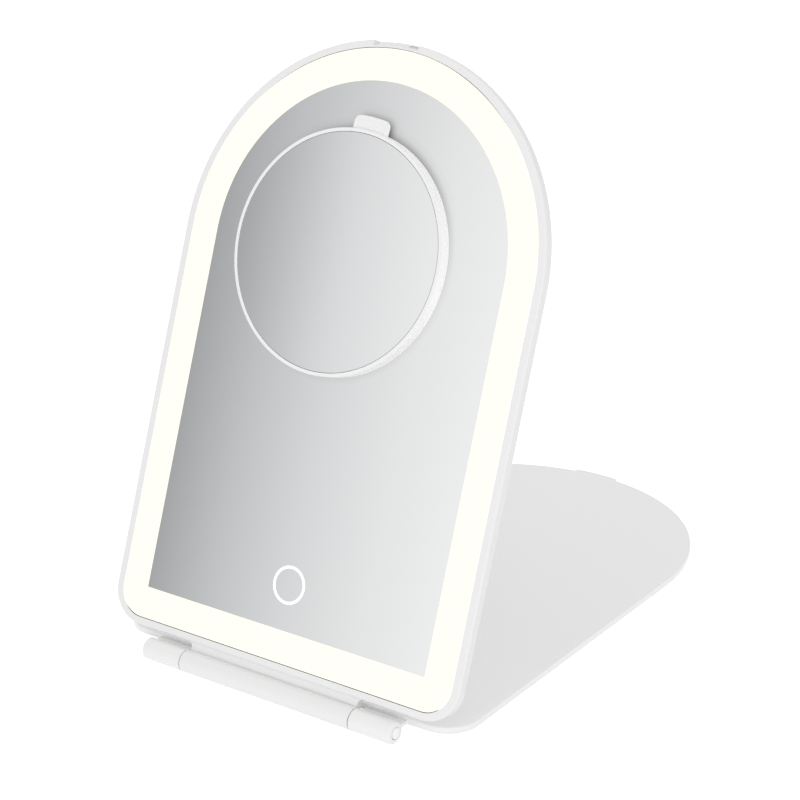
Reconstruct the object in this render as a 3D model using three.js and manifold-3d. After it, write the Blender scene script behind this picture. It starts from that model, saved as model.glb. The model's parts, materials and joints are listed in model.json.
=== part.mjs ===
// Lighted travel mirror. An arch shaped mirror panel with a lit frosted band leans back on its
// own cover, which folds round a barrel hinge. A round magnifier sits on the mirror by magnets.
// Units are millimetres, Z is up, X runs along the hinge and +Y points to the back.
import * as THREE from 'three';
import { mergeVertices } from 'three/addons/utils/BufferGeometryUtils.js';
import Module from 'manifold-3d';

const wasm = await Module();
wasm.setup();

// Clearances
const seatGap = 0.3;
const smoothSteps = 56;
const cornerSteps = 6;

// Glass front: outline of the lit face
const glassHalfWidth = 80;
const glassCorner = 10.8;
const archRise = 159.5;
const glassThickness = 1.2;
const bandWidth = 12.45;

// Mirror panel shell
const rimWidth = 3.3;
const panelBackSkin = 0.9;
const panelEdgeRound = 0.6;
const scoopHalfAngle = 7.2;
const scoopFrontDepth = 2.2;
const scoopBackDepth = 0.15;
const ledgeWidth = 1.3;
const ribWidth = 2.4;

// Cover that serves as the base
const coverSkin = 1.3;
const coverWall = 1.6;
const coverEdgeRound = 0.5;
const linerThickness = 1.2;
const lipHalfAngle = 6.8;
const lipFade = 1.4;
const lipReach = 1.6;
const lipThickness = 2.0;
const webFillet = 2.2;
const flapSink = 0.3;
const flapThickness = 1.6;

// Hinge
const openAngle = 70;
const barrelRadius = 4.45;
const barrelHalfLength = 60.2;
const centreHalfLength = 41.4;
const knuckleGap = 0.4;
const barrelEdgeRound = 0.5;
const hingeInset = 7.7;
const glassToAxis = 0.7;
const axisToCover = 0.4;
const webSetBack = 0.8;
const webThickness = 2.8;
const pinRadius = 1.2;
const pinGrip = 18;
const sleeveWall = 1.0;
const sleeveLength = 16;
const capRadius = 2.1;
const capThickness = 1.0;
const capRecess = 1.0;

// Touch control
const touchRise = 30.3;
const touchRadius = 7.0;
const touchLine = 1.2;
const touchDepth = 0.5;
const sensorRadius = 9;
const sensorThickness = 0.4;

// Light, power and control
const stripWidth = 5.0;
const stripThickness = 0.35;
const ledLength = 2.2;
const ledWidth = 1.6;
const ledHeight = 0.6;
const ledCount = 44;
const batteryWidth = 92;
const batteryLength = 58;
const batteryThickness = 1.7;
const batteryRise = 92;
const boardWidth = 70;
const boardLength = 26;
const boardThickness = 0.6;
const chipHeight = 0.7;
const portWidth = 4.4;
const portHeight = 1.8;
const portAngle = 4.9;
const portSetBack = 2.4;
const portDepth = 4.2;
const portWall = 0.45;

// Magnets that hold the cover shut
const closureRadius = 4.0;
const closureThickness = 1.0;
const closureAngle = 36.8;
const closureInset = 10.75;

// Magnifier
const magnifierRadius = 47.8;
const magnifierOffset = -5.5;
const magnifierRise = 159.7;
const magnifierFloor = 0.9;
const magnifierFloorRise = 0.9;
const magnifierGlass = 1.4;
const magnifierDish = 0.5;
const magnifierBackDish = 0.3;
const magnifierGlassSetBack = 0.15;
const magnifierRoom = 0.45;
const magnifierLedge = 1.4;
const magnifierWall = 1.35;
const magnifierEdgeRound = 0.6;
const tabAngle = 4.5;
const tabWidth = 15.8;
const tabReach = 5.4;
const tabCorner = 2.3;
const tabThickness = 2.4;
const tabRise = 1.7;
const tabRound = 0.6;
const magnetRadius = 5;
const magnetThickness = 1.2;
const magnetSunk = 0.3;
const magnetCircle = 27;
const magnetCount = 4;
const padThickness = 0.6;
const keeperRadius = 36;
const keeperThickness = 0.6;

// Feet under the far end of the cover
const footRadius = 5;
const footProud = 0.6;
const footPocket = 0.5;
const footAngle = 22.6;
const footInset = 15.6;

const rad = THREE.MathUtils.degToRad;

// Sizes that follow from what each housing holds
const magnifierGlassRadius = magnifierRadius - magnifierWall;
const panelThickness = glassThickness + seatGap + batteryThickness + seatGap + panelBackSkin;
const coverThickness = linerThickness + seatGap + coverSkin;
const magnifierHeight = seatGap + magnifierFloorRise + magnifierFloor + (magnetThickness - magnetSunk)
  + seatGap + magnifierRoom + magnifierBackDish + magnifierGlass + magnifierGlassSetBack;

// An arch outline: straight foot, rounded lower corners, straight sides and a half circle on top
function arch(halfWidth, foot, centre, corner, steps = smoothSteps) {
  const points = [];
  const side = halfWidth - corner;
  if (corner > 0) {
    for (let i = 0; i <= cornerSteps; i++) {
      const a = -Math.PI / 2 + (i / cornerSteps) * Math.PI / 2;
      points.push(new THREE.Vector2(side + corner * Math.cos(a), foot + corner + corner * Math.sin(a)));
    }
  } else {
    points.push(new THREE.Vector2(halfWidth, foot));
  }
  for (let i = 0; i <= steps; i++) {
    const a = (i / steps) * Math.PI;
    points.push(new THREE.Vector2(halfWidth * Math.cos(a), centre + halfWidth * Math.sin(a)));
  }
  if (corner > 0) {
    for (let i = 0; i <= cornerSteps; i++) {
      const a = Math.PI + (i / cornerSteps) * Math.PI / 2;
      points.push(new THREE.Vector2(-side + corner * Math.cos(a), foot + corner + corner * Math.sin(a)));
    }
  } else {
    points.push(new THREE.Vector2(-halfWidth, foot));
  }
  return points;
}

// The outline a given distance inside the glass edge, or outside it where the distance is negative.
// Heights are measured from the hinge axis.
const glassFoot = hingeInset + rimWidth;
function outline(inset, sharp = false, steps = smoothSteps) {
  const corner = sharp ? 0 : Math.max(glassCorner - inset, 0);
  return arch(glassHalfWidth - inset, glassFoot + inset, glassFoot + archRise, corner, steps);
}

function ringSector(inner, outer, halfAngle, centreY, steps = 10, middle = 0) {
  const points = [];
  for (let i = 0; i <= steps; i++) {
    const a = rad(90 - middle + halfAngle - (2 * halfAngle * i) / steps);
    points.push(new THREE.Vector2(outer * Math.cos(a), centreY + outer * Math.sin(a)));
  }
  for (let i = steps; i >= 0; i--) {
    const a = rad(90 - middle + halfAngle - (2 * halfAngle * i) / steps);
    points.push(new THREE.Vector2(inner * Math.cos(a), centreY + inner * Math.sin(a)));
  }
  return points;
}

function slab(points, low, high, round = 0, segments = 2) {
  const shape = new THREE.Shape(points);
  const geometry = new THREE.ExtrudeGeometry(shape, {
    depth: high - low - 2 * round,
    bevelEnabled: round > 0,
    bevelThickness: round,
    bevelSize: round,
    bevelOffset: -round,
    bevelSegments: segments,
    curveSegments: 12,
    steps: 1,
  });
  geometry.translate(0, 0, low + round);
  return geometry;
}

function circlePoints(radius, x, y, steps = 24) {
  const points = [];
  for (let i = 0; i < steps; i++) {
    const a = (i / steps) * 2 * Math.PI;
    points.push(new THREE.Vector2(x + radius * Math.cos(a), y + radius * Math.sin(a)));
  }
  return points;
}

function disc(radius, x, y, low, high, steps = 24) {
  return slab(circlePoints(radius, x, y, steps), low, high);
}

// A web from the hinge axis to an edge, which flares into that edge with a fillet on each side
function webOutline(x0, x1, edge, bury) {
  const points = [new THREE.Vector2(x0, 0), new THREE.Vector2(x1, 0)];
  for (let i = 0; i <= 5; i++) {
    const a = (i / 5) * Math.PI / 2;
    points.push(new THREE.Vector2(x1 + webFillet * (1 - Math.cos(a)), edge - webFillet * (1 - Math.sin(a))));
  }
  points.push(new THREE.Vector2(x1 + webFillet, edge + bury * 0.6));
  points.push(new THREE.Vector2(x0 - webFillet, edge + bury * 0.6));
  for (let i = 5; i >= 0; i--) {
    const a = (i / 5) * Math.PI / 2;
    points.push(new THREE.Vector2(x0 - webFillet * (1 - Math.cos(a)), edge - webFillet * (1 - Math.sin(a))));
  }
  return points;
}

// The pull lip: a sector of the cover's edge whose reach fades out at both ends
function lipOutline(inner, outer, centreY) {
  const points = [];
  const reach = lipHalfAngle + lipFade;
  const steps = 24;
  for (let i = 0; i <= steps; i++) {
    const angle = reach - (2 * reach * i) / steps;
    const t = THREE.MathUtils.clamp((reach - Math.abs(angle)) / lipFade, 0, 1);
    const r = outer - 0.5 + (lipReach + 0.5) * t * t * (3 - 2 * t);
    points.push(new THREE.Vector2(-r * Math.sin(rad(angle)), centreY + r * Math.cos(rad(angle))));
  }
  for (let i = 10; i >= 0; i--) {
    const angle = reach - (2 * reach * i) / 10;
    points.push(new THREE.Vector2(-inner * Math.sin(rad(angle)), centreY + inner * Math.cos(rad(angle))));
  }
  return points;
}

// A round bar along X, with its end edges rounded by the given amount
function bar(radius, from, to, round = 0, steps = 32) {
  const profile = [new THREE.Vector2(0, from)];
  if (round > 0) {
    profile.push(new THREE.Vector2(radius - round, from));
    profile.push(new THREE.Vector2(radius - 0.3 * round, from + 0.3 * round));
    profile.push(new THREE.Vector2(radius, from + round));
    profile.push(new THREE.Vector2(radius, to - round));
    profile.push(new THREE.Vector2(radius - 0.3 * round, to - 0.3 * round));
    profile.push(new THREE.Vector2(radius - round, to));
  } else {
    profile.push(new THREE.Vector2(radius, from));
    profile.push(new THREE.Vector2(radius, to));
  }
  profile.push(new THREE.Vector2(0, to));
  const geometry = new THREE.LatheGeometry(profile, steps);
  geometry.rotateZ(-Math.PI / 2);
  return geometry;
}

function block(x0, x1, y0, y1, z0, z1) {
  const geometry = new THREE.BoxGeometry(x1 - x0, y1 - y0, z1 - z0);
  geometry.translate((x0 + x1) / 2, (y0 + y1) / 2, (z0 + z1) / 2);
  return geometry;
}

function solid(geometry) {
  const bare = geometry.clone();
  bare.deleteAttribute('normal');
  bare.deleteAttribute('uv');
  const merged = mergeVertices(bare, 1e-4);
  return new wasm.Manifold(new wasm.Mesh({
    numProp: 3,
    vertProperties: new Float32Array(merged.attributes.position.array),
    triVerts: new Uint32Array(merged.index.array),
  }));
}

function cut(body, ...tools) {
  let result = body;
  for (const tool of tools) {
    result = result.subtract(solid(tool));
  }
  return result;
}

function join(body, ...others) {
  let result = body;
  for (const other of others) {
    result = result.add(solid(other));
  }
  return result;
}

function surface(body) {
  const mesh = body.getMesh();
  const geometry = new THREE.BufferGeometry();
  const count = mesh.vertProperties.length / mesh.numProp;
  const positions = new Float32Array(count * 3);
  for (let i = 0; i < count; i++) {
    for (let k = 0; k < 3; k++) {
      positions[3 * i + k] = mesh.vertProperties[mesh.numProp * i + k];
    }
  }
  geometry.setAttribute('position', new THREE.BufferAttribute(positions, 3));
  geometry.setIndex(new THREE.BufferAttribute(new Uint32Array(mesh.triVerts), 1));
  geometry.computeVertexNormals();
  return geometry;
}

// Materials
const whiteShell = { color: 0xf1f1f1, roughness: 0.38, metalness: 0 };
const mirrorFace = { color: 0xb9bcc2, roughness: 0.05, metalness: 1 };
const frosted = { color: 0xfffff4, roughness: 0.55, metalness: 0, emissive: 0xfffff0, emissiveIntensity: 0.9 };
const whiteLight = { color: 0xffffff, roughness: 0.5, metalness: 0, emissive: 0xffffff, emissiveIntensity: 0.9 };
const steel = { color: 0xa9adb2, roughness: 0.3, metalness: 1 };
const magnetMetal = { color: 0x8d9095, roughness: 0.35, metalness: 1 };
const boardGreen = { color: 0x1f6b45, roughness: 0.6, metalness: 0 };
const cellFoil = { color: 0xc9ccd0, roughness: 0.4, metalness: 0.6 };
const softPad = { color: 0xe4e4e2, roughness: 0.8, metalness: 0 };
const darkPort = { color: 0x5f6266, roughness: 0.45, metalness: 0.7 };
const bronze = { color: 0xb08a4e, roughness: 0.4, metalness: 1 };

function piece(name, source, look) {
  const geometry = source.getMesh ? surface(source) : source;
  const mesh = new THREE.Mesh(geometry, new THREE.MeshStandardMaterial(look));
  mesh.name = name;
  return mesh;
}

// Places. Each flat part is drawn with the hinge axis at its origin, Y up along the part
// and Z out of its outer face: the glass side of the panel and the upper side of the cover.
const shellRadius = glassHalfWidth + rimWidth;
const archCentre = glassFoot + archRise;
const glassFront = -glassToAxis;
const glassBack = glassFront - glassThickness;
const panelBack = glassFront - panelThickness;
const panelFloor = panelBack + panelBackSkin;
const coverUnder = axisToCover;
const coverTop = coverUnder + coverThickness;
const closureReach = glassHalfWidth - bandWidth - closureInset;
const closureX = closureReach * Math.sin(rad(closureAngle));
const closureY = archCentre + closureReach * Math.cos(rad(closureAngle));
const footReachOut = shellRadius - footInset;
const footX = footReachOut * Math.sin(rad(footAngle));
const footY = archCentre + footReachOut * Math.cos(rad(footAngle));

// Cover shell with its two end knuckles
let cover = solid(slab(outline(-rimWidth), coverUnder, coverTop, coverEdgeRound));
cover = join(cover, slab(lipOutline(shellRadius - coverWall, shellRadius, archCentre), coverTop - lipThickness, coverTop));
const linerInset = coverWall - rimWidth + seatGap;
cover = cut(cover, slab(outline(coverWall - rimWidth), coverUnder - 1, coverTop - coverSkin));
const knuckleBore = pinRadius + seatGap;
const knuckleStart = centreHalfLength + knuckleGap / 2;
for (const side of [-1, 1]) {
  const from = Math.min(side * knuckleStart, side * barrelHalfLength);
  const to = Math.max(side * knuckleStart, side * barrelHalfLength);
  cover = join(cover, bar(barrelRadius, from, to, barrelEdgeRound));
  cover = join(cover, slab(webOutline(from + barrelEdgeRound, to - barrelEdgeRound, hingeInset, coverWall),
    coverUnder - flapSink, coverUnder - flapSink + flapThickness));
}
for (const side of [-1, 1]) {
  const outerEnd = side * (barrelHalfLength + 1);
  const innerEnd = side * (knuckleStart - 1);
  cover = cut(cover, bar(knuckleBore, Math.min(innerEnd, outerEnd), Math.max(innerEnd, outerEnd), 0, 20));
  const capSeat = side * (barrelHalfLength - capThickness - capRecess - seatGap);
  cover = cut(cover, bar(capRadius + seatGap, Math.min(capSeat, outerEnd), Math.max(capSeat, outerEnd), 0, 28));
}
const closureLow = coverUnder + linerThickness - 0.2;
for (const side of [-1, 1]) {
  cover = cut(cover, disc(closureRadius + seatGap, side * closureX, closureY,
    coverUnder, closureLow + closureThickness + seatGap));
}

// Inner liner of the cover
let liner = solid(slab(outline(linerInset), coverUnder, coverUnder + linerThickness));
for (const side of [-1, 1]) {
  liner = cut(liner,
    disc(closureRadius + seatGap, side * closureX, closureY, closureLow - seatGap, coverTop),
    disc(footRadius + seatGap, side * footX, footY, coverUnder - 1, coverUnder + footPocket));
}

// The cover stands on the barrel and on two feet near its far end, which tilts it a little
const footBottom = coverUnder - footProud;
const footReach = Math.hypot(footY, footBottom);
const standTilt = Math.asin((barrelRadius) / footReach) - Math.atan2(-footBottom, footY);

// The finger scoop in the far edge: its floor leans, deep at the front and shallow at the back
function scoop() {
  const inner = shellRadius - scoopBackDepth;
  const slope = (scoopFrontDepth - scoopBackDepth) / panelThickness;
  const geometry = slab(ringSector(inner, shellRadius + 3, scoopHalfAngle, archCentre), panelBack, glassFront);
  const position = geometry.attributes.position;
  for (let i = 0; i < position.count; i++) {
    const x = position.getX(i);
    const y = position.getY(i) - archCentre;
    const r = Math.hypot(x, y);
    const high = position.getZ(i) > (panelBack + glassFront) / 2;
    const z = high ? glassFront + 1 : panelBack - 1;
    position.setZ(i, z);
    if (r < inner + 0.5) {
      const reach = inner - slope * (z - panelBack);
      position.setX(i, (x * reach) / r);
      position.setY(i, archCentre + (y * reach) / r);
    }
  }
  return geometry;
}

// Mirror panel shell with the centre knuckle
let shell = solid(slab(outline(-rimWidth), panelBack, glassFront, panelEdgeRound));
shell = cut(shell,
  slab(outline(-seatGap / 2), panelFloor, glassFront + 1),
  scoop());
const ledgeTop = glassBack - seatGap;
const mirrorInset = bandWidth;
const ribOutline = outline(mirrorInset - ribWidth / 2, true);
const ribInside = outline(mirrorInset + ribWidth / 2, true);
const ledge = solid(slab(outline(-seatGap / 2 - 0.2), panelFloor - 0.2, ledgeTop))
  .subtract(solid(slab(outline(ledgeWidth), panelFloor - 1, ledgeTop + 1)));
const rib = solid(slab(ribOutline, panelFloor - 0.2, ledgeTop))
  .subtract(solid(slab(ribInside, panelFloor - 1, ledgeTop + 1)));
shell = shell.add(ledge).add(rib);
const centreEnd = centreHalfLength - knuckleGap / 2;
shell = join(shell,
  bar(barrelRadius, -centreEnd, centreEnd, barrelEdgeRound),
  slab(webOutline(-centreEnd + barrelEdgeRound, centreEnd - barrelEdgeRound, hingeInset, rimWidth),
    glassFront - webSetBack - webThickness, glassFront - webSetBack));
const sleeveRadius = pinRadius + seatGap + sleeveWall;
const pinInner = centreEnd - pinGrip;
for (const side of [-1, 1]) {
  const a = side * (pinInner - seatGap);
  const b = side * (centreEnd + 1);
  shell = cut(shell, bar(sleeveRadius + seatGap, Math.min(a, b), Math.max(a, b), 0, 24));
}
const portSeat = shellRadius - scoopFrontDepth + (scoopFrontDepth - scoopBackDepth) / panelThickness
  * (portSetBack - portHeight / 2);
function atAngle(geometry, angle, centreY) {
  geometry.translate(0, -centreY, 0);
  geometry.rotateZ(-rad(angle));
  geometry.translate(0, centreY, 0);
  return geometry;
}
const portLow = glassFront - portSetBack - portHeight / 2;
const portHigh = portLow + portHeight;
shell = cut(shell, atAngle(block(-portWidth / 2 - seatGap, portWidth / 2 + seatGap,
  archCentre + portSeat - portDepth - seatGap, archCentre + shellRadius + 2, portLow - seatGap, portHigh + seatGap),
portAngle, archCentre));

// Charging port: a small open metal socket in the rear edge
let port = solid(block(-portWidth / 2, portWidth / 2, archCentre + portSeat - portDepth, archCentre + portSeat - 0.2,
  portLow, portHigh));
port = cut(port, block(-portWidth / 2 + portWall, portWidth / 2 - portWall, archCentre + portSeat - portDepth + 1,
  archCentre + portSeat + 2, portLow + portWall, portHigh - portWall));

// Front: the frosted band and the mirror that it frames
const diffuser = solid(slab(outline(seatGap / 2), glassBack, glassFront))
  .subtract(solid(slab(outline(mirrorInset, true), glassBack - 1, glassFront + 1)));
let mirror = solid(slab(outline(mirrorInset + seatGap, true), glassBack, glassFront));
const touchY = glassFoot + touchRise;
const touchGroove = solid(disc(touchRadius + touchLine / 2, 0, touchY, glassFront - touchDepth, glassFront + 1, 40))
  .subtract(solid(disc(touchRadius - touchLine / 2, 0, touchY, glassFront - touchDepth - 1, glassFront + 2, 40)));
mirror = mirror.subtract(touchGroove);
const touchRing = solid(disc(touchRadius + touchLine / 2 - 0.1, 0, touchY, glassFront - touchDepth + 0.2, glassFront, 40))
  .subtract(solid(disc(touchRadius - touchLine / 2 + 0.1, 0, touchY, glassFront - 2, glassFront + 1, 40)));
const sensor = disc(sensorRadius, 0, touchY, glassBack - seatGap - sensorThickness, glassBack - seatGap, 32);

// Light strip: a flexible board round the channel under the band, with its row of LEDs
const stripMiddle = (ledgeWidth + mirrorInset - ribWidth / 2) / 2;
const stripLow = panelFloor + seatGap;
const stripTop = stripLow + stripThickness;
let strip = solid(slab(outline(stripMiddle - stripWidth / 2), stripLow, stripTop))
  .subtract(solid(slab(outline(stripMiddle + stripWidth / 2), stripLow - 1, stripTop + 1)));
const stripPath = new THREE.Path(outline(stripMiddle, false, 120).concat([outline(stripMiddle, false, 120)[0]]));
const stripLength = stripPath.getLength();
for (let i = 0; i < ledCount; i++) {
  const t = (i + 0.5) / ledCount;
  const spot = stripPath.getPointAt(t);
  const run = stripPath.getTangentAt(t);
  const led = new THREE.BoxGeometry(ledLength, ledWidth, ledHeight + 0.1);
  led.rotateZ(Math.atan2(run.y, run.x));
  led.translate(spot.x, spot.y, stripTop + ledHeight / 2 - 0.05);
  strip = join(strip, led);
}

// Battery, control board and steel keeper behind the mirror
const batteryLow = panelFloor + seatGap;
const batteryY = glassFoot + batteryRise;
const battery = slab([
  new THREE.Vector2(-batteryWidth / 2, batteryY - batteryLength / 2),
  new THREE.Vector2(batteryWidth / 2, batteryY - batteryLength / 2),
  new THREE.Vector2(batteryWidth / 2, batteryY + batteryLength / 2),
  new THREE.Vector2(-batteryWidth / 2, batteryY + batteryLength / 2),
], batteryLow, batteryLow + batteryThickness, 0.4);
const boardY = touchY;
let board = solid(block(-boardWidth / 2, boardWidth / 2, boardY - boardLength / 2, boardY + boardLength / 2,
  panelFloor + seatGap, panelFloor + seatGap + boardThickness));
const chipLow = panelFloor + seatGap + boardThickness - 0.1;
for (const [x, y, w, l] of [[-22, 4, 8, 8], [-24, -7, 5, 4], [22, 5, 6, 9], [25, -7, 10, 4]]) {
  board = join(board, block(x - w / 2, x + w / 2, boardY + y - l / 2, boardY + y + l / 2, chipLow, chipLow + chipHeight));
}
const magnifierY = glassFoot + magnifierRise;
const keeper = disc(keeperRadius, magnifierOffset, magnifierY, glassBack - seatGap - keeperThickness, glassBack - seatGap, 40);

// Magnifier: a shallow round case with a pull tab, a dished mirror, magnets and a soft back pad
const caseLow = glassFront + seatGap;
const caseHigh = glassFront + magnifierHeight;
const caseFloor = caseLow + magnifierFloorRise + magnifierFloor;
const lensTop = caseHigh - magnifierGlassSetBack;
const ledgeHigh = lensTop - magnifierGlass - seatGap;
const caseProfile = [
  new THREE.Vector2(0, caseLow + magnifierFloorRise),
  new THREE.Vector2(magnifierRadius - magnifierWall - magnifierLedge, caseLow + magnifierFloorRise),
  new THREE.Vector2(magnifierRadius - magnifierWall - magnifierLedge, caseLow),
  new THREE.Vector2(magnifierRadius - 0.4, caseLow),
  new THREE.Vector2(magnifierRadius, caseLow + 0.4),
  new THREE.Vector2(magnifierRadius, caseHigh - magnifierEdgeRound),
  new THREE.Vector2(magnifierRadius - 0.3 * magnifierEdgeRound, caseHigh - 0.3 * magnifierEdgeRound),
  new THREE.Vector2(magnifierRadius - magnifierEdgeRound, caseHigh),
  new THREE.Vector2(magnifierGlassRadius, caseHigh),
  new THREE.Vector2(magnifierGlassRadius, ledgeHigh),
  new THREE.Vector2(magnifierGlassRadius - magnifierLedge, ledgeHigh),
  new THREE.Vector2(magnifierGlassRadius - magnifierLedge, caseFloor),
  new THREE.Vector2(0, caseFloor),
];
function turned(profile, x, y, steps) {
  const geometry = new THREE.LatheGeometry(profile, steps);
  geometry.rotateX(Math.PI / 2);
  geometry.translate(x, y, 0);
  return geometry;
}
let magnifierCase = solid(turned(caseProfile, magnifierOffset, magnifierY, 60));
const tabLow = glassFront + tabRise;
const tabOutline = [];
const tabRoot = magnifierRadius - magnifierWall + 0.3;
const tabEnd = magnifierRadius + tabReach;
const tabCornerTurn = Math.asin((tabWidth / 2 - tabCorner) / (tabEnd - tabCorner));
const tabCornerX = tabWidth / 2 - tabCorner;
const tabCornerY = (tabEnd - tabCorner) * Math.cos(tabCornerTurn);
tabOutline.push(new THREE.Vector2(-tabWidth / 2, tabRoot));
tabOutline.push(new THREE.Vector2(tabWidth / 2, tabRoot));
for (let i = 0; i <= 5; i++) {
  const a = (i / 5) * (Math.PI / 2 - tabCornerTurn);
  tabOutline.push(new THREE.Vector2(tabCornerX + tabCorner * Math.cos(a), tabCornerY + tabCorner * Math.sin(a)));
}
for (let i = 1; i <= 5; i++) {
  const a = Math.PI / 2 - tabCornerTurn + (i / 6) * 2 * tabCornerTurn;
  tabOutline.push(new THREE.Vector2(tabEnd * Math.cos(a), tabEnd * Math.sin(a)));
}
for (let i = 0; i <= 5; i++) {
  const a = Math.PI / 2 + tabCornerTurn + (i / 5) * (Math.PI / 2 - tabCornerTurn);
  tabOutline.push(new THREE.Vector2(-tabCornerX + tabCorner * Math.cos(a), tabCornerY + tabCorner * Math.sin(a)));
}
const tab = slab(tabOutline, tabLow, tabLow + tabThickness, tabRound);
tab.rotateZ(-rad(tabAngle));
tab.translate(magnifierOffset, magnifierY, 0);
magnifierCase = magnifierCase.add(solid(tab));
const magnetLow = caseFloor - magnetSunk + seatGap;
const magnetSpots = [];
for (let i = 0; i < magnetCount; i++) {
  const a = rad(45 + (360 * i) / magnetCount);
  magnetSpots.push([magnifierOffset + magnetCircle * Math.cos(a), magnifierY + magnetCircle * Math.sin(a)]);
}
for (const [x, y] of magnetSpots) {
  magnifierCase = cut(magnifierCase, disc(magnetRadius + seatGap, x, y, magnetLow - seatGap, caseHigh, 20));
}
const lensEdge = magnifierGlassRadius - seatGap;
const lensProfile = [];
const lensSteps = 5;
for (let i = 0; i <= lensSteps; i++) {
  const r = (lensEdge * i) / lensSteps;
  lensProfile.push(new THREE.Vector2(r, lensTop - magnifierGlass - magnifierBackDish * (1 - (r / lensEdge) ** 2)));
}
for (let i = lensSteps; i >= 0; i--) {
  const r = (lensEdge * i) / lensSteps;
  lensProfile.push(new THREE.Vector2(r, lensTop - magnifierDish * (1 - (r / lensEdge) ** 2)));
}
const lens = turned(lensProfile, magnifierOffset, magnifierY, 60);
const backPad = disc(magnifierRadius - magnifierWall - magnifierLedge - seatGap, magnifierOffset, magnifierY,
  caseLow, caseLow + padThickness, 48);

// Assembly
const model = new THREE.Group();
const stand = new THREE.Group();
stand.rotation.x = -standTilt;
stand.position.z = barrelRadius;
const panel = new THREE.Group();
panel.rotation.x = rad(openAngle) - standTilt;
panel.position.z = barrelRadius;
const magnifier = new THREE.Group();
panel.add(magnifier);
model.add(stand, panel);

stand.add(piece('cover_shell', cover, whiteShell));
stand.add(piece('cover_liner', liner, whiteShell));
for (const [side, word] of [[-1, 'left'], [1, 'right']]) {
  const footShape = disc(footRadius, side * footX, footY, footBottom, coverUnder + footPocket - seatGap, 28);
  footShape.rotateX(-standTilt);
  footShape.translate(0, 0, barrelRadius);
  const flatFoot = cut(solid(footShape), block(-200, 200, -50, 400, -20, 0));
  model.add(piece('foot_' + word, flatFoot, softPad));
  stand.add(piece('cover_magnet_' + word, disc(closureRadius, side * closureX, closureY,
    closureLow, closureLow + closureThickness), magnetMetal));
  panel.add(piece('closure_magnet_' + word, disc(closureRadius, side * closureX, closureY,
    glassBack - seatGap - closureThickness, glassBack - seatGap), magnetMetal));
  const pinA = side * (pinInner);
  const pinB = side * (barrelHalfLength - capThickness - capRecess - 2 * seatGap);
  stand.add(piece('hinge_pin_' + word, bar(pinRadius, Math.min(pinA, pinB), Math.max(pinA, pinB), 0, 20), steel));
  const sleeveA = side * (centreEnd - 0.2);
  const sleeveB = side * (centreEnd - 0.2 - sleeveLength);
  const sleeve = cut(solid(bar(sleeveRadius, Math.min(sleeveA, sleeveB), Math.max(sleeveA, sleeveB), 0, 24)),
    bar(pinRadius + seatGap, Math.min(sleeveA, sleeveB) - 1, Math.max(sleeveA, sleeveB) + 1, 0, 20));
  panel.add(piece('friction_sleeve_' + word, sleeve, bronze));
  const capA = side * (barrelHalfLength - capRecess - capThickness);
  const capB = side * (barrelHalfLength - capRecess);
  stand.add(piece('barrel_cap_' + word, bar(capRadius, Math.min(capA, capB), Math.max(capA, capB), 0.2, 28), whiteShell));
}

panel.add(piece('panel_shell', shell, whiteShell));
panel.add(piece('light_band', diffuser, frosted));
panel.add(piece('mirror_glass', mirror, mirrorFace));
panel.add(piece('touch_ring', touchRing, whiteLight));
panel.add(piece('touch_sensor', sensor, boardGreen));
panel.add(piece('led_strip', strip, whiteLight));
panel.add(piece('battery', battery, cellFoil));
panel.add(piece('control_board', board, boardGreen));
panel.add(piece('keeper_plate', keeper, steel));
const portMesh = piece('charge_port', port, darkPort);
portMesh.position.y = -archCentre;
const portTurn = new THREE.Group();
portTurn.position.y = archCentre;
portTurn.rotation.z = -rad(portAngle);
portTurn.add(portMesh);
panel.add(portTurn);

magnifier.add(piece('magnifier_case', magnifierCase, whiteShell));
magnifier.add(piece('magnifier_mirror', lens, mirrorFace));
magnifier.add(piece('magnifier_pad', backPad, softPad));
magnetSpots.forEach(([x, y], i) => {
  magnifier.add(piece('magnifier_magnet_' + (i + 1), disc(magnetRadius, x, y, magnetLow, magnetLow + magnetThickness, 20), magnetMetal));
});

// The model is centred over its footprint
model.updateMatrixWorld(true);
const box = new THREE.Box3().setFromObject(model, true);
model.position.y = -(box.min.y + box.max.y) / 2;
model.updateMatrixWorld(true);

export default model;
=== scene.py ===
# Looks of the lighted travel mirror: the arch panel, the cover that folds round it, the hinge and the
# magnifier. Lengths are in metres. Each piece is modelled flat, with the hinge axis at the origin and the
# glass facing up, and is then laid in its place.
import json
import math

import bmesh
import bpy
from mathutils import Matrix, Vector


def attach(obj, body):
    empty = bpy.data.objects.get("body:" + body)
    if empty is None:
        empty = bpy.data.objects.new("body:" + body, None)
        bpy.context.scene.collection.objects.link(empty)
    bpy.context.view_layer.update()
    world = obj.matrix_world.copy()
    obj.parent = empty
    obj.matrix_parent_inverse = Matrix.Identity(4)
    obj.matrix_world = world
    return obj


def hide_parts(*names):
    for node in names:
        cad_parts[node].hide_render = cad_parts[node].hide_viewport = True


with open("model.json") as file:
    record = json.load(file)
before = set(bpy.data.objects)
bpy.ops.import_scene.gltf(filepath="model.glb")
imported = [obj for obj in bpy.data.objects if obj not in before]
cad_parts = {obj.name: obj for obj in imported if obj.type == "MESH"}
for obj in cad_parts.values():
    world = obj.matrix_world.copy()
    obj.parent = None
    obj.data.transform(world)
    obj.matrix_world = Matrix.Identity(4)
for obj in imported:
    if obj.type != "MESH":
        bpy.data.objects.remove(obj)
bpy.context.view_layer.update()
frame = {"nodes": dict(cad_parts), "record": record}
bpy.ops.object.select_all(action="DESELECT")

mm = 0.001

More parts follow.
